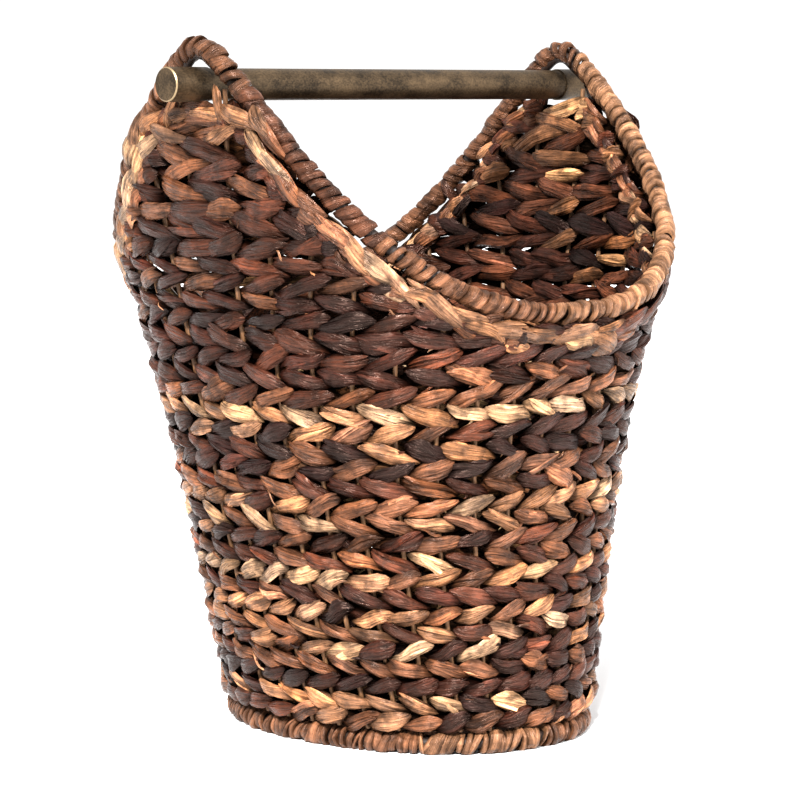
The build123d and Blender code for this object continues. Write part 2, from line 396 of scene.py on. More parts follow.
def blended(tree: Tree, value: Socket, span: Span, colours: tuple[Colour, Colour]) -> Socket:
    """A colour that goes from the first to the second as the value crosses the span."""
    ramp = tree.nodes.new("ShaderNodeValToRGB")
    for element, position, colour in zip(ramp.color_ramp.elements, span, colours):
        element.position = position
        element.color = (*colour, 1)
    tree.links.new(value, ramp.inputs["Fac"])
    return ramp.outputs["Color"]


def raised(tree: Tree, height: Socket, depth: float, under: Socket | None = None) -> Socket:
    """The direction of a surface that a noise value raises, over another such surface if given."""
    bump = tree.nodes.new("ShaderNodeBump")
    bump.inputs["Distance"].default_value = depth
    tree.links.new(height, bump.inputs["Height"])
    if under is not None:
        tree.links.new(under, bump.inputs["Normal"])
    return bump.outputs["Normal"]


@dataclass(frozen=True)
class LeafFinish:
    """Dried leaf: colour from the piece with its painted shade, fibre streaks that are partly painted
    shade, painted shade and light on the creases, stains and a waxy sheen that is weaker under the painted
    shade.
    """

    name: str
    rough: float = 0.13
    sheen_spread: float = 0.36
    fibre_depth: float = 0.0011
    crease_depth: float = 0.0042
    shine: float = 0.48
    # Specular level under the painted shade, and the openness below which it holds.
    hidden_shine: float = 0.02
    open_from: float = 0.25
    glint: Colour = (1.0, 0.68, 0.56)
    # Strength of the fibre streaks, partly the leaf's own and partly painted shade, and of the painted
    # shade and light on the creases.
    streak_and_shade: float = 0.52
    noise_roughness: float = 0.6

    def build(self) -> bpy.types.Material:
        """Make the material from this finish's values."""
        material = bpy.data.materials.new(self.name)
        material.use_nodes = True
        tree = material.node_tree
        nodes, links = tree.nodes, tree.links
        shader = nodes["Principled BSDF"]
        shader.inputs["Specular Tint"].default_value = (*self.glint, 1)

        tint = nodes.new("ShaderNodeAttribute")
        tint.attribute_name = "tint"
        shader.inputs["Specular IOR Level"].default_value = self.shine
        # Painted shade on the reflection: the specular level falls from shine to hidden_shine where the
        # tint's fourth value marks a point as hidden from light.
        span = (self.open_from, 1.0)
        shine = remapped(tree, tint.outputs["Alpha"], span, (self.hidden_shine, self.shine))
        links.new(shine, shader.inputs["Specular IOR Level"])
        strip = nodes.new("ShaderNodeUVMap")
        strip.uv_map = "Strip"
        place = nodes.new("ShaderNodeTexCoord")

        along, around = strip.outputs["UV"], place.outputs["Object"]
        fibres = scaled_noise(tree, along, (26.0, 1000.0, 1.0), 5.0, self.noise_roughness)
        creases = scaled_noise(tree, along, (45.0, 340.0, 1.0), 3.0, self.noise_roughness)
        stains = scaled_noise(tree, around, (95.0, 95.0, 95.0), 4.0, self.noise_roughness)
        specks = scaled_noise(tree, around, (1300.0, 1300.0, 1300.0), 2.0, self.noise_roughness)

        # Fibre streaks darken where the fibre bump sinks: partly the leaf's own streaks, partly painted
        # shade in the grooves.
        fibre_streaked_and_shaded = self._shade(tree, tint.outputs["Color"], fibres, (0.32, 0.68), self._gain())
        # Painted shade in the crease valleys and painted light on the crease ridges, following the crease
        # bump.
        crease_shaded = self._shade(tree, fibre_streaked_and_shaded, creases, (0.34, 0.66), self._gain())
        stained = self._shade(tree, crease_shaded, stains, (0.36, 0.58), (0.36, 1.16))
        specked = self._shade(tree, stained, specks, (0.30, 0.40), (0.40, 1.0))
        links.new(specked, shader.inputs["Base Color"])

        gloss = remapped(tree, fibres, (0.3, 0.7), (self.rough, self.rough + self.sheen_spread))
        links.new(gloss, shader.inputs["Roughness"])
        deep = raised(tree, creases, self.crease_depth)
        fine = raised(tree, fibres, self.fibre_depth, deep)
        links.new(fine, shader.inputs["Normal"])
        return material

    def _gain(self) -> Span:
        """Gains for the darkest and the lightest streaks and creases, whose dark side is partly painted
        shade.
        """
        return 1 - self.streak_and_shade, 1 + self.streak_and_shade

    def _shade(self, tree: Tree, colour: Socket, amount: Socket, span: Span, gain: Span) -> Socket:
        """Multiply a colour by a gain that follows a noise value."""
        product = tree.nodes.new("ShaderNodeVectorMath")
        product.operation = "SCALE"
        tree.links.new(colour, product.inputs[0])
        tree.links.new(remapped(tree, amount, span, gain), product.inputs["Scale"])
        return product.outputs["Vector"]


@dataclass(frozen=True)
class CaneFinish:
    """Dry rattan: pale, fine upright grain, darker stains."""

    name: str
    light: Colour = (0.21, 0.105, 0.044)
    dark: Colour = (0.055, 0.023, 0.010)
    grain: Colour = (1400.0, 1400.0, 60.0)
    grain_depth: float = 0.0002
    rough: float = 0.6

    def build(self) -> bpy.types.Material:
        """Make the material from this finish's values."""
        material = bpy.data.materials.new(self.name)
        material.use_nodes = True
        tree = material.node_tree
        nodes, links = tree.nodes, tree.links
        shader = nodes["Principled BSDF"]
        place = nodes.new("ShaderNodeTexCoord")
        grain = scaled_noise(tree, place.outputs["Object"], self.grain, 4.0)
        colour = blended(tree, grain, (0.3, 0.65), (self.dark, self.light))
        links.new(colour, shader.inputs["Base Color"])
        links.new(raised(tree, grain, self.grain_depth), shader.inputs["Normal"])
        shader.inputs["Roughness"].default_value = self.rough
        return material


@dataclass(frozen=True)
class BrassFinish:
    """Dark aged brass: mottled, with bare metal on the rims of the end caps."""

    name: str
    dark: Colour = (0.027, 0.0180, 0.0098)
    light: Colour = (0.116, 0.078, 0.043)
    bare: Colour = (0.30, 0.22, 0.13)
    metallic: float = 0.7
    rough: Span = (0.30, 0.62)
    grit_share: float = 0.45
    cloud_share: float = 0.6
    grit_depth: float = 0.00012
    edge: Span = (0.1809, 0.1815)
    face: Span = (0.18192, 0.18198)

    def build(self) -> bpy.types.Material:
        """Make the material from this finish's values."""
        material = bpy.data.materials.new(self.name)
        material.use_nodes = True
        tree = material.node_tree
        nodes, links = tree.nodes, tree.links
        shader = nodes["Principled BSDF"]
        shader.inputs["Metallic"].default_value = self.metallic
        place = nodes.new("ShaderNodeTexCoord")
        cloud = scaled_noise(tree, place.outputs["Object"], (55.0, 70.0, 70.0), 6.0)
        grit = scaled_noise(tree, place.outputs["Object"], (700.0, 900.0, 900.0), 3.0)
        mottle = nodes.new("ShaderNodeMath")
        mottle.operation = "MULTIPLY_ADD"
        mottle.inputs[1].default_value = self.grit_share
        links.new(grit, mottle.inputs[0])
        spread = nodes.new("ShaderNodeMath")
        spread.operation = "MULTIPLY"
        spread.inputs[1].default_value = self.cloud_share
        links.new(cloud, spread.inputs[0])
        links.new(spread.outputs["Value"], mottle.inputs[2])
        mottled = blended(tree, mottle.outputs["Value"], (0.40, 0.66), (self.dark, self.light))
        worn = self._worn_edge(tree, place.outputs["Object"])
        mix = nodes.new("ShaderNodeMix")
        mix.data_type = "RGBA"
        mix.inputs["B"].default_value = (*self.bare, 1)
        links.new(worn, mix.inputs["Factor"])
        links.new(mottled, mix.inputs["A"])
        links.new(mix.outputs["Result"], shader.inputs["Base Color"])
        links.new(remapped(tree, cloud, (0.0, 1.0), self.rough), shader.inputs["Roughness"])
        links.new(raised(tree, grit, self.grit_depth), shader.inputs["Normal"])
        return material

    def _worn_edge(self, tree: Tree, source: Socket) -> Socket:
        """1 on the chamfer at each end of the pole, 0 elsewhere."""
        split = tree.nodes.new("ShaderNodeSeparateXYZ")
        tree.links.new(source, split.inputs["Vector"])
        side = tree.nodes.new("ShaderNodeMath")
        side.operation = "ABSOLUTE"
        tree.links.new(split.outputs["X"], side.inputs[0])
        both = tree.nodes.new("ShaderNodeMath")
        both.operation = "MULTIPLY"
        tree.links.new(remapped(tree, side.outputs["Value"], self.edge, (0.0, 1.0)), both.inputs[0])
        tree.links.new(remapped(tree, side.outputs["Value"], self.face, (1.0, 0.0)), both.inputs[1])
        return both.outputs["Value"]


@dataclass
class LeafRun:
    """Places and sizes of many leaves on the wall, one value each."""

    turn: np.ndarray
    height: np.ndarray
    slant: np.ndarray
    length: np.ndarray
    width: np.ndarray
    colour: np.ndarray
    out: float = 0.0010
    arch: float = 0.0040
    thick: float = 0.0019
    side: int = 1
    head: int = 1


@dataclass(frozen=True)
class LeafHabit:
    """How leaves bend, how far they differ from each other, and how much shade is painted on their hidden
    parts.
    """

    lean_spread: float = 0.16
    twist: float = 0.25
    twist_spread: float = 0.28
    swing: float = 0.0008
    cup: Span = (0.06, 0.24)
    fold_height: Span = (-0.0003, 0.0014)
    fold_places: tuple[float, ...] = (-0.7, 0.0, 0.7)
    fold_width: float = 0.4
    waver: float = 0.13
    waver_rate: float = 3.4
    bow_spread: float = 0.0005
    # Painted shade: the share of colour kept where a point lies shaded_from out from the wall's middle, the
    # distance over which it rises to full, and the least share kept.
    shaded: float = 0.05
    shaded_from: float = 0.0009
    shaded_depth: float = 0.0054
    darkest: float = 0.03
    rib_across: float = 0.20
    rib_along: float = 0.16


HABIT = LeafHabit()


def with_openness(colours: np.ndarray, openness: np.ndarray) -> np.ndarray:
    """Join colours with how open each point is to light, 0 to 1, as a fourth value."""
    fourth = np.broadcast_to(openness[..., None], colours.shape[:-1] + (1,))
    return np.concatenate([colours, fourth], axis=-1)


def lay_leaves(batch: Batch, leaf: Pattern, run: LeafRun, rng: np.random.Generator) -> None:
    """Copy the leaf onto the wall.

    Args:
        batch: the piece that takes the copies.
        leaf: the modelled leaf.
        run: where the copies go, and their sizes.
        rng: seeded source of the small differences between leaves.
    """
    count = len(run.turn)
    if not count:
        return
    along, across, lift = (leaf.points[None, :, i] for i in range(3))
    one = (count, 1)
    length, width = run.length.reshape(one), run.width.reshape(one)
    lean = rng.normal(0.0, HABIT.lean_spread, one)
    lean = lean + (HABIT.twist + rng.normal(0.0, HABIT.twist_spread, one)) * along
    swing = rng.normal(0.0, HABIT.swing, one)
    cup = rng.uniform(*HABIT.cup, one) * width
    fold = np.where(lift > 0, rng.uniform(*HABIT.fold_height, one), 0.0)
    fold = fold * np.exp(-(((across - rng.choice(HABIT.fold_places, one)) / HABIT.fold_width) ** 2))
    waver = 1 + HABIT.waver * np.sin(HABIT.waver_rate * along + rng.uniform(0, 6, one))
    wide = across * width / 2 * waver
    tall = lift * run.thick / 2 + cup * (1 - across**2) * (0.4 + 0.6 * (1 - along**2)) + fold
    wide, tall = wide * np.cos(lean) - tall * np.sin(lean), wide * np.sin(lean) + tall * np.cos(lean)
    along = along * run.head
    reach = along * length / 2
    wide = wide + swing * np.sin(math.pi * along)
    slant = run.slant.reshape(one)
    gone = reach * np.cos(slant) - wide * np.sin(slant)
    risen = reach * np.sin(slant) + wide * np.cos(slant)
    bow = run.arch * np.cos(math.pi / 2 * (along - 0.2 * run.head)) + rng.normal(0.0, HABIT.bow_spread, one)
    turn, height = run.turn.reshape(one), run.height.reshape(one)
    out = run.side * (run.out + bow + tall)
    places = WALL.point(turn + gone / WALL.speed(turn, height), height + risen, out)
    # Painted shade: the nearer a point lies to the wall's middle surface, the darker its colour and the
    # weaker its reflection.
    rise = (run.side * out - HABIT.shaded_from) / HABIT.shaded_depth
    painted_light_share = np.clip(HABIT.shaded + rise, HABIT.darkest, 1.0)
    rib = 1 + rng.normal(0.0, HABIT.rib_across, one) * across
    rib = rib + rng.normal(0.0, HABIT.rib_along, one) * along
    tints = with_openness(run.colour[:, None, :] * (painted_light_share * rib)[..., None], painted_light_share)
    offset = rng.uniform(0, 5, (count, 1, 2))
    strips = np.stack(np.broadcast_arrays(reach, across * width / 2), axis=-1) + offset
    batch.add(leaf, places, tints, strips, run.side * run.head < 0)


def pick_colours(tone: Tone, count: int, rng: np.random.Generator) -> np.ndarray:
    """Colours for the stitches of a course, whose two strands each change colour now and then.

    Args:
        tone: how often each leaf colour comes up.
        count: number of stitches.
        rng: seeded source.

    Returns:
        One colour for each stitch.
    """
    odds = np.array(tone.value) / sum(tone.value)
    strands = [rng.choice(len(LEAF_CHART), p=odds) for _ in range(2)]
    picked = np.zeros((count, 3))
    for i in range(count):
        if rng.random() < STRAND_CHANGE:
            strands[i % 2] = rng.choice(len(LEAF_CHART), p=odds)
        picked[i] = LEAF_CHART[strands[i % 2]]
    picked *= np.exp(rng.normal(0.0, LEAF_SPREAD, (count, 1)))
    picked *= np.exp(rng.normal(0.0, WARMTH_SPREAD, (count, 1)) * np.array([0.6, 0.0, -1.0]))
    return picked * np.minimum(1.0, BRIGHTEST_LEAF / picked.max(axis=1, keepdims=True))


@dataclass
class WovenWall:
    """The twined courses, outside and inside, with the loose ends under the rim."""

    leaf: Pattern
    finish: bpy.types.Material
    courses: int = 34
    stakes: int = 36
    first: float = 0.0199
    pitch: float = 0.0110
    rim_gap: float = 0.0105
    stitch_share: float = 1.42
    stitch_width: float = 0.0101
    ear_width: float = 0.0119
    slant: float = 0.31
    ear_slant: float = 0.23
    beside_stake: float = 0.17
    loose_rows: tuple[int, ...] = (22, 23, 24, 25)
    loose_width: float = 0.0092
    inner_lift: float = 0.0030
    # Painted light on the inner face's colours, against the shade inside the basket; painted shade on the
    # outer face of the ears, where the key light falls strongly.
    inner_painted_light: Colour = (1.34, 1.47, 1.38)
    ear_painted_shade: float = 0.82
    least_room: float = 0.005
    overhang: float = 0.003
    end_inset: float = 0.008
    end_length: float = 0.020
    fold_lift: float = 0.0009
    fold_thick: float = 0.0013
    crossing_slant: float = 0.22
    crossing_share: float = 0.98
    crossing_width: float = 0.0102
    left_out: float = 0.7

    def build(self) -> None:
        """Make one piece for each course."""
        stakes = WALL.spaced_turns(self.stakes)
        for number in range(self.courses):
            rng = np.random.default_rng(100 + number)
            height = self.first + self.pitch * number
            batch = Batch()
            for side in (1, -1):
                self._lay_course(batch, number, height, WALL.rising_turn(stakes, height), side, rng)
            self._lay_crossings(batch, number, height, WALL.rising_turn(stakes, height), rng)
            self._lay_ends(batch, height, rng)
            self._lay_shreds(batch, height, stakes, rng)
            batch.build(f"weave_{number + 1:02d}", self.finish, "dark_leaf", f"course_{number + 1:02d}")

    def _lay_course(
        self, batch: Batch, number: int, height: float, turns: np.ndarray, side: int,
        rng: np.random.Generator,
    ) -> None:
        """Lay the stitches of one course on one face of the wall, each just beside its stake."""
        spots = WALL.point(turns, height)
        pitch = np.linalg.norm(np.roll(spots, -1, axis=0) - np.roll(spots, 1, axis=0), axis=1) / 2
        turns = turns - side * self.beside_stake * pitch / WALL.speed(turns, height)
        length = self.stitch_share * pitch * rng.uniform(0.92, 1.12, len(pitch))
        crossings = self._rim_crossings(height)
        if len(crossings):
            swing = np.abs((turns[:, None] - crossings + math.pi) % (2 * math.pi) - math.pi).min(axis=1)
            room = swing * WALL.speed(turns, height)
            here = (WALL.rim_height(turns) - self.rim_gap > height) & (room > self.least_room)
            inward = np.array([-1, 1, -1, 1]) * self.end_inset / WALL.speed(crossings, height)
            turns = np.concatenate([turns[here], crossings + inward])
            short = np.minimum(length, 2 * room + self.overhang)[here]
            length = np.concatenate([short, np.full(len(crossings), self.end_length)])
        count = len(turns)
        lean = (self.ear_slant if len(crossings) else self.slant) * (1 if number % 2 == 0 else -1)
        width = self.ear_width if len(crossings) else self.stitch_width
        width = self.loose_width if number in self.loose_rows else width
        run = LeafRun(
            turn=turns + rng.normal(0, 0.006, count),
            height=height + rng.normal(0, 0.0006, count) + (self.inner_lift if side < 0 else 0.0),
            slant=lean + rng.normal(0, 0.08, count),
            length=length,
            width=width * rng.uniform(0.84, 1.16, count),
            colour=pick_colours(COURSE_TONES[number], count, rng),
            side=side,
            head=1 if lean > 0 else -1,
        )
        # Painted light and shade: inner stitches are brightened, and outer ear stitches are darkened.
        if side < 0:
            run.colour = run.colour * np.array(self.inner_painted_light)
        elif len(crossings):
            run.colour = run.colour * self.ear_painted_shade
        lay_leaves(batch, self.leaf, run, rng)
        shift = rng.choice([-1.0, 1.0], count) * rng.uniform(0.10, 0.30, count) * run.width
        fold = replace(
            run,
            height=run.height + shift,
            slant=run.slant + rng.normal(0, 0.10, count),
            length=run.length * rng.uniform(0.80, 1.0, count),
            width=run.width * rng.uniform(0.34, 0.62, count),
            colour=run.colour * np.exp(rng.normal(0.1, 0.38, (count, 1))),
            out=run.out + self.fold_lift,
            thick=self.fold_thick,
        )
        lay_leaves(batch, self.leaf, fold, rng)

    def _lay_crossings(
        self, batch: Batch, number: int, height: float, turns: np.ndarray, rng: np.random.Generator
    ) -> None:
        """Lay the dark lengths of leaf that cross between the stakes, inside the wall."""
        spots = WALL.point(turns, height)
        after = np.roll(spots, -1, axis=0)
        gap = np.linalg.norm(after - spots, axis=1)
        between = turns + ((np.roll(turns, -1) - turns + math.pi) % (2 * math.pi) - math.pi) / 2
        kept = rng.random(len(turns)) > (self.left_out if number in self.loose_rows else 0.0)
        here = (WALL.rim_height(between) - 1.6 * self.rim_gap > height) & kept
        between, gap = between[here], gap[here]
        count = len(between)
        run = LeafRun(
            turn=between,
            height=np.full(count, height) + rng.normal(0, 0.0005, count),
            slant=np.full(count, self.crossing_slant * (-1 if number % 2 == 0 else 1)),
            length=gap * self.crossing_share,
            width=np.full(count, self.crossing_width),
            colour=pick_colours(Tone.DARK_ROW, count, rng),
            out=-0.0012,
            arch=0.0006,
            thick=0.0022,
        )
        lay_leaves(batch, self.leaf, run, rng)

    def _lay_ends(self, batch: Batch, height: float, rng: np.random.Generator) -> None:
        """Lay loose leaf ends where a course meets the rim, turned along it."""
        turns = self._rim_crossings(height)
        if not len(turns):
            return
        slope = (WALL.rim_height(turns + 0.02) - WALL.rim_height(turns - 0.02)) / 0.04
        rise = np.arctan(slope / WALL.speed(turns, height))
        for side in (1, -1):
            spots, rises = np.repeat(turns, 3), np.repeat(rise, 3)
            count = len(spots)
            run = LeafRun(
                turn=spots + rng.normal(0, 0.012, count),
                height=height + rng.uniform(-0.006, 0.001, count),
                slant=rises * rng.uniform(0.55, 1.0, count),
                length=rng.uniform(0.018, 0.030, count),
                width=rng.uniform(0.0045, 0.0085, count),
                colour=pick_colours(Tone.GOLD_ROW if side < 0 else Tone.RUSSET_ROW, count, rng),
                out=0.0020,
                side=side,
            )
            lay_leaves(batch, self.leaf, run, rng)

    def _lay_shreds(self, batch: Batch, height: float, turns: np.ndarray, rng: np.random.Generator) -> None:
        """Lay a few torn fibres that stand a little proud of a course."""
        spots = rng.choice(turns, 6) + rng.uniform(-0.08, 0.08, 6)
        spots = spots[WALL.rim_height(spots) - 2 * self.rim_gap > height]
        count = len(spots)
        run = LeafRun(
            turn=spots,
            height=height + rng.uniform(-0.005, 0.005, count),
            slant=rng.uniform(-0.9, 0.9, count),
            length=rng.uniform(0.007, 0.016, count),
            width=rng.uniform(0.0010, 0.0024, count),
            colour=pick_colours(Tone.RUSSET_ROW, count, rng),
            out=0.0042,
            arch=0.0016,
            thick=0.0006,
        )
        lay_leaves(batch, self.leaf, run, rng)

    def _rim_crossings(self, height: float) -> np.ndarray:
        """Angles at which the rim's underside passes a height, four or none."""
        sweep = np.linspace(0.0, math.pi / 2, 400)
        under = WALL.rim_height(sweep) - self.rim_gap - 0.006
        if height < under.min() or height > under.max():
            return np.zeros(0)
        cross = sweep[np.argmax(under < height)]
        return np.array([cross, math.pi - cross, math.pi + cross, -cross])


@dataclass
class Binding:
    """Leaf strip wound round a hoop, one ring of strip after another."""

    wrap: Pattern
    finish: bpy.types.Material
    name: str
    node: str
    radius: float
    spacing: float
    strip: float
    seed: int
    slant: float = 0.30
    uneven: float = 1.0
    tones: tuple[Tone, ...] = (Tone.RUSSET_ROW,)
    floor_level: float | None = None
    step: float = 0.002
    wander: float = 0.0002
    pattern_reach: float = 1.28

    def build(self, route: np.ndarray) -> None:
        """Wind the strip along a closed route of closely spaced points.

        Args:
            route: points of the hoop's centreline.
        """
        rng = np.random.default_rng(self.seed)
        gaps = np.linalg.norm(np.diff(route, axis=0, append=route[:1]), axis=1)
        miles = np.concatenate([[0.0], np.cumsum(gaps)])
        total = miles[-1]
        count = int(round(total / self.spacing))
        spots = (np.arange(count) + rng.normal(0, 0.10, count)) * total / count
        closed = np.concatenate([route, route[:1]])
        centre = self._along(closed, miles, spots, total)
        ahead = self._along(closed, miles, spots + self.step, total)
        ahead = ahead - self._along(closed, miles, spots - self.step, total)
        ahead /= np.linalg.norm(ahead, axis=1)[:, None]
        outward = centre * np.array([1.0, 1.0, 0.0])
        outward -= (outward * ahead).sum(1)[:, None] * ahead
        outward /= np.linalg.norm(outward, axis=1)[:, None]
        upward = np.cross(outward, ahead)
        centre = centre + outward * rng.normal(0, self.wander, (count, 1))
        centre = centre + upward * rng.normal(0, self.wander, (count, 1))

        x, y, z = (self.wrap.points[None, :, i] for i in range(3))
        size = self.radius * rng.normal(1.0, 0.035 * self.uneven, (count, 1))
        angle = np.arctan2(y, x)
        ripple = 1 + 0.05 * np.sin(2 * angle + rng.uniform(0, 6, (count, 1)))
        ripple = ripple + 0.035 * np.sin(5 * angle + rng.uniform(0, 6, (count, 1)))
        reach = size / self.pattern_reach * ripple
        wide = self.strip / 2 * np.exp(rng.normal(0, 0.18 * self.uneven, (count, 1)))
        wide = wide * (1 + 0.25 * np.sin(angle + rng.uniform(0, 6, (count, 1))))
        tilt = self.slant + rng.normal(0, 0.14 * self.uneven, (count, 1))
        shift = z * wide + tilt * (y * reach) + rng.normal(0, 0.12, (count, 1)) * (x * reach)
        places = (
            centre[:, None, :]
            + outward[:, None, :] * (x * reach)[..., None]
            + upward[:, None, :] * (y * reach)[..., None]
            + ahead[:, None, :] * shift[..., None]
        )
        if self.floor_level is not None:
            places[..., 2] = np.maximum(places[..., 2], self.floor_level)
        colours = self._colours(count, rng)
        # Painted shade in the grooves between wraps: each wrap's colour and reflection fall off toward its
        # two edges.
        groove_shade = np.broadcast_to(1 - 0.7 * z**2, places.shape[:2])
        tints = with_openness(colours[:, None, :] * groove_shade[..., None], groove_shade)
        offset = rng.uniform(0, 5, (count, 1, 2))
        strips = np.stack(np.broadcast_arrays(angle * self.radius, z * wide), axis=-1) + offset
        batch = Batch()
        batch.add(self.wrap, places, tints, strips, True)
        batch.build(self.name, self.finish, "wrap_leaf", self.node)

    def _along(self, route: np.ndarray, miles: np.ndarray, spots: np.ndarray, total: float) -> np.ndarray:
        """Points at given distances along a closed route."""
        spots = np.mod(spots, total)
        return np.stack([np.interp(spots, miles, route[:, i]) for i in range(3)], axis=1)

    def _colours(self, count: int, rng: np.random.Generator) -> np.ndarray:
        """Colours in stretches, each of one strip, of the tone for that part of the hoop."""
        colours = np.zeros((count, 3))
        start = 0
        while start < count:
            stretch = int(rng.integers(6, 22))
            tone = self.tones[start * len(self.tones) // count]
            odds = np.array(tone.value) / sum(tone.value)
            colours[start:start + stretch] = odds @ LEAF_CHART * math.exp(rng.normal(0, 0.16))
            start += stretch
        colours *= np.exp(rng.normal(0, 0.20, (count, 1)))
        return colours * np.minimum(1.0, BRIGHTEST_WRAP / colours.max(axis=1, keepdims=True))


@dataclass
class BorderStrands:
    """The pale twisted strand outside the rim, and the leaves crossing under the pole."""

    leaf: Pattern
    finish: bpy.types.Material
    drop: float = 0.0135
    start: float = 0.03
    spacing: float = 0.0135
    pale_until: float = -1.47

    def build(self) -> None:
        """Make the front strand and the back strand."""
        for side, name in ((1, "back"), (-1, "front")):
            rng = np.random.default_rng(900 + side)
            batch = Batch()
            self._lay_strand(batch, side, rng)
            self._lay_wisps(batch, side, rng)
            batch.build(f"border_{name}", self.finish, "pale_leaf", f"border_strand_{name}")

    def _lay_strand(self, batch: Batch, side: int, rng: np.random.Generator) -> None:
        """Lay the leaves of one strand, two by two, from ear to ear."""
        turns = side * WALL.even_turn(np.linspace(self.start, 0.5 - self.start, 600))
        route = WALL.point(turns, WALL.rim_height(turns) - self.drop)
        miles = np.concatenate([[0.0], np.cumsum(np.linalg.norm(np.diff(route, axis=0), axis=1))])
        count = int(miles[-1] / self.spacing)
        spots = np.linspace(0.004, miles[-1] - 0.004, count)
        turn = np.interp(spots, miles, turns)
        height = np.interp(spots, miles, route[:, 2])
        rise = np.gradient(height) / (np.gradient(turn) * WALL.speed(turn, height))
        twist = 0.16 * np.where(np.arange(count) % 2 == 0, 1.0, -1.0)
        run = LeafRun(
            turn=turn,
            height=height + rng.normal(0, 0.0006, count),
            slant=np.arctan(rise) + twist + rng.normal(0, 0.05, count),
            length=rng.uniform(0.036, 0.052, count),
            width=rng.uniform(0.0070, 0.0105, count),
            colour=pick_colours(Tone.TAN_ROW, count, rng),
            out=0.0040,
            arch=0.0032,
        )
        if side < 0:
            brown = turn > self.pale_until
            run.colour[brown] = pick_colours(Tone.BROWN_ROW, int(brown.sum()), rng)
            self._lay_end(batch, rng)
        lay_leaves(batch, self.leaf, run, rng)

    def _lay_end(self, batch: Batch, rng: np.random.Generator) -> None:
        """Lay the broad pale leaf that ends the front strand's pale half."""
        turn = np.array([self.pale_until, self.pale_until - 0.10])
        run = LeafRun(
            turn=turn,
            height=WALL.rim_height(turn) - np.array([0.0195, 0.0165]),
            slant=np.array([-0.30, -0.22]),
            length=np.array([0.034, 0.040]),
            width=np.array([0.0165, 0.0110]),
            colour=pick_colours(Tone.PALE_ROW, 2, rng),
            out=0.0048,
            arch=0.0030,
        )
        lay_leaves(batch, self.leaf, run, rng)

    def _lay_wisps(self, batch: Batch, side: int, rng: np.random.Generator) -> None:
        """Lay the broad pale leaves that cross under the pole on both ears."""
        for middle in (0.0, math.pi):
            toward = side if middle == 0.0 else -side
            offsets = np.array([0.03, 0.10, 0.17, 0.06, 0.20, 0.045])
            count = len(offsets)
            run = LeafRun(
                turn=middle + toward * offsets,
                height=np.array([0.384, 0.381, 0.375, 0.373, 0.367, 0.387]),
                slant=-toward * np.array([0.10, 0.45, 0.85, -0.20, 0.75, 1.20]),
                length=np.append(rng.uniform(0.026, 0.040, count - 1), 0.030),
                width=np.append(rng.uniform(0.0075, 0.0105, count - 1), 0.0080),
                colour=pick_colours(Tone.BROWN_ROW if middle == 0.0 else Tone.TAN_ROW, count, rng),
                out=0.0044,
                arch=0.0036,
                head=-1,
            )
            lay_leaves(batch, self.leaf, run, rng)


@dataclass
class WovenFloor:
    """Rows of leaf over and under the floor sticks."""

    leaf: Pattern
    finish: bpy.types.Material
    level: float = FOOT_LEVEL
    rows: int = 16
    inset: float = 0.0078
    spacing: float = 0.0215
    end_gap: float = 0.010
    slant: float = 0.33
    width: float = 0.0105
    half_length: float = 0.0145
    lift: float = 0.0016
    arch: float = 0.0014
    half_thick: float = 0.0009
    # Share of colour and reflection kept under the painted shade on every floor stitch.
    openness: float = 0.8

    def build(self) -> None:
        """Make the floor's upper and lower faces."""
        rng = np.random.default_rng(77)
        half_x, half_y, power = (float(v) for v in WALL.half_widths(np.array(self.level)))
        batch = Batch()
        for row in range(self.rows):
            x = (row - (self.rows - 1) / 2) * 2 * (half_x - self.inset) / self.rows
            share = min((abs(x) + 0.003) / (half_x - self.inset), 1.0)
            reach = (half_y - self.inset) * (1 - share**power) ** (1 / power)
            count = max(int(2 * reach / self.spacing) + 1, 2)
            spots = np.linspace(self.end_gap - reach, reach - self.end_gap, count)
            for side in (1, -1):
                self._lay_row(batch, row, x, spots, side, rng)
        batch.build("floor_weave", self.finish, "dark_leaf", "floor_rows")

    def _lay_row(
        self, batch: Batch, row: int, x: float, spots: np.ndarray, side: int, rng: np.random.Generator
    ) -> None:
        """Lay one row of stitches on one face of the floor."""
        count = len(spots)
        along, across, lift = (self.leaf.points[None, :, i] for i in range(3))
        angle = self.slant * (1 if row % 2 else -1) + rng.normal(0, 0.06, (count, 1))
        width = self.width * rng.uniform(0.9, 1.1, (count, 1))
        gone, wide = along * self.half_length, across * width / 2
        bow = self.lift + self.arch * np.cos(math.pi / 2 * along) + lift * self.half_thick
        y = spots[:, None] + gone * np.cos(angle) - wide * np.sin(angle)
        places = np.stack(
            np.broadcast_arrays(
                x + gone * np.sin(angle) + wide * np.cos(angle),
                y,
                self.level + side * bow,
            ),
            axis=-1,
        )
        colours = pick_colours(Tone.BROWN_ROW, count, rng)
        # Painted shade: every floor stitch is darkened evenly and reflects less.
        openness = np.full(places.shape[:2], self.openness)
        tints = with_openness(colours[:, None, :] * openness[..., None], openness)
        strips = np.stack(np.broadcast_arrays(gone, wide), axis=-1) + rng.uniform(0, 5, (count, 1, 2))
        batch.add(self.leaf, places, tints, strips, side > 0)


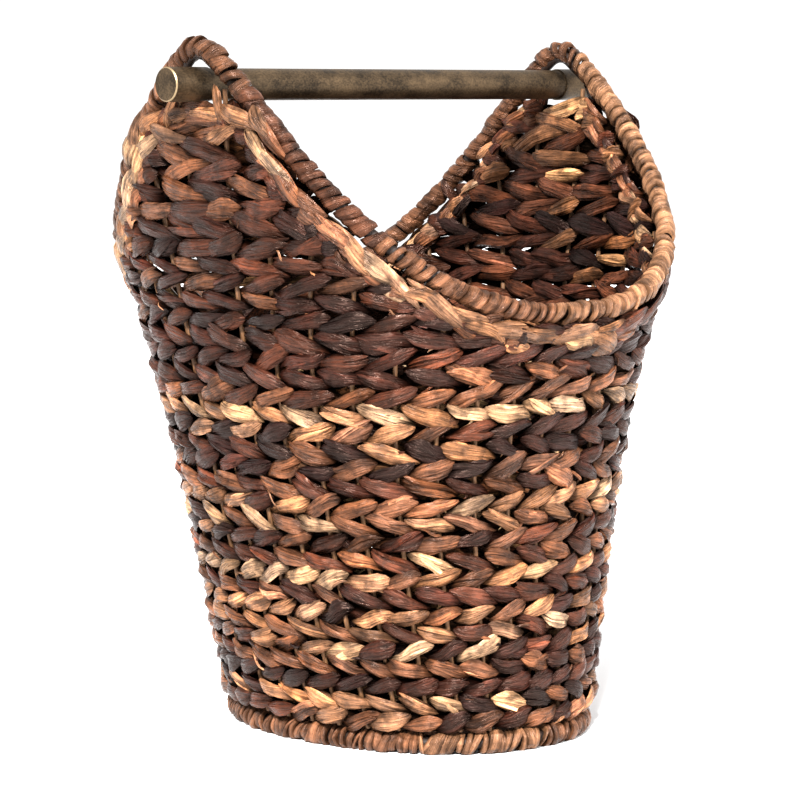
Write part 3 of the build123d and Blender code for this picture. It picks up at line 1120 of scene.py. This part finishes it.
@dataclass
class Studio:
    """Camera, lights and floor."""

    azimuth: float = -44.02
    elevation: float = 5.29
    roll: float = -1.287
    distance: float = 1.710
    target_height: float = 0.2034
    focal: float = 121.66
    side_shift: float = 0.0016

    def build(self) -> None:
        """Set up everything round the basket."""
        self._camera()
        self._floor()
        self._lights()

    def _camera(self) -> None:
        """Place the camera and look level at the basket's middle."""
        az, el = math.radians(self.azimuth), math.radians(self.elevation)
        back = Vector((math.sin(az) * math.cos(el), -math.cos(az) * math.cos(el), math.sin(el)))
        right = Vector((math.cos(az), math.sin(az), 0.0))
        up = back.cross(right)
        turn = Matrix((right, up, back)).transposed() @ Matrix.Rotation(math.radians(self.roll), 3, "Z")
        data = bpy.data.cameras.new("camera")
        data.lens = self.focal
        data.shift_x = self.side_shift
        camera = bpy.data.objects.new("camera", data)
        spot = back * self.distance + Vector((0, 0, self.target_height))
        camera.matrix_world = Matrix.Translation(spot) @ turn.to_4x4()
        bpy.context.scene.collection.objects.link(camera)
        bpy.context.scene.camera = camera

    def _floor(self) -> None:
        """A large pale floor."""
        clear_selection()
        bpy.ops.mesh.primitive_plane_add(size=12.0)
        floor = bpy.context.object
        floor.name = "studio_floor"
        material = bpy.data.materials.new("studio_white")
        material.use_nodes = True
        shader = material.node_tree.nodes["Principled BSDF"]
        shader.inputs["Base Color"].default_value = (0.80, 0.80, 0.80, 1)
        shader.inputs["Roughness"].default_value = 0.9
        floor.data.materials.append(material)

    def _lights(self) -> None:
        """White surroundings and broad, soft light from the front, above and the right."""
        world = bpy.data.worlds.new("studio")
        world.use_nodes = True
        world.node_tree.nodes["Background"].inputs["Color"].default_value = (1, 1, 1, 1)
        world.node_tree.nodes["Background"].inputs["Strength"].default_value = 1.0
        bpy.context.scene.world = world
        bpy.context.scene.view_settings.view_transform = "Standard"
        bpy.context.scene.view_settings.gamma = 0.87
        bpy.context.scene.view_settings.exposure = 0.14
        for name, toward, strength, spread in (
            ("key", (-0.80, -0.62, 0.84), 8.8, 10.0),
            ("side", (0.25, -0.95, 0.42), 2.6, 20.0),
        ):
            lamp = bpy.data.lights.new(name, "SUN")
            lamp.energy = strength
            lamp.angle = math.radians(spread)
            light = bpy.data.objects.new(name, lamp)
            aim = (-Vector(toward)).to_track_quat("-Z", "Y")
            light.matrix_world = Matrix.Translation(Vector(toward) * 2) @ aim.to_matrix().to_4x4()
            bpy.context.scene.collection.objects.link(light)


def dress_plain_nodes(
    cane: bpy.types.Material, core: bpy.types.Material, brass: bpy.types.Material
) -> None:
    """Give the solids that stay on show their finishes.

    Args:
        cane: finish of the stakes and the floor sticks.
        core: finish of the hoops inside the bindings.
        brass: finish of the pole and its caps.
    """
    metal = frame["record"]["behaviour"]["bodies"]["pole"]
    for name, node in frame["nodes"].items():
        finish = brass if name in metal else core if name.endswith("_core") else cane
        node.data.materials.clear()
        node.data.materials.append(finish)


def main() -> None:
    """Build every piece in order."""
    logging.basicConfig(level=logging.INFO, format="%(name)s %(message)s")
    Studio().build()
    leaf_finish = LeafFinish("dried_leaf").build()
    strip_finish = LeafFinish("wound_leaf", crease_depth=0.0018, shine=0.60, streak_and_shade=0.286).build()
    core = CaneFinish("hoop_core", light=(0.030, 0.014, 0.008), dark=(0.010, 0.005, 0.003))
    dress_plain_nodes(CaneFinish("rattan").build(), core.build(), BrassFinish("aged_brass").build())
    leaf, wrap = model_leaf(), model_wrap()

    WovenWall(leaf, leaf_finish).build()
    around = WALL.even_turn(np.linspace(0.0, 1.0, 1440, endpoint=False))
    rim_route = WALL.point(around, WALL.rim_height(around))
    Binding(
        wrap, strip_finish, "rim_binding", "rim_wrap", radius=0.0066, spacing=0.0072, strip=0.0083, seed=11,
        slant=0.42, tones=RIM_TONES,
    ).build(rim_route)
    foot_route = WALL.point(around, np.full(around.shape, FOOT_LEVEL))
    Binding(
        wrap, strip_finish, "foot_binding", "base_hoop_wrap", radius=0.0070, spacing=0.0046, strip=0.0056,
        seed=12, slant=0.20, uneven=1.7, tones=FOOT_TONES, floor_level=0.0,
    ).build(foot_route)
    BorderStrands(leaf, leaf_finish).build()
    WovenFloor(leaf, leaf_finish).build()


if __name__ == "__main__":
    main()
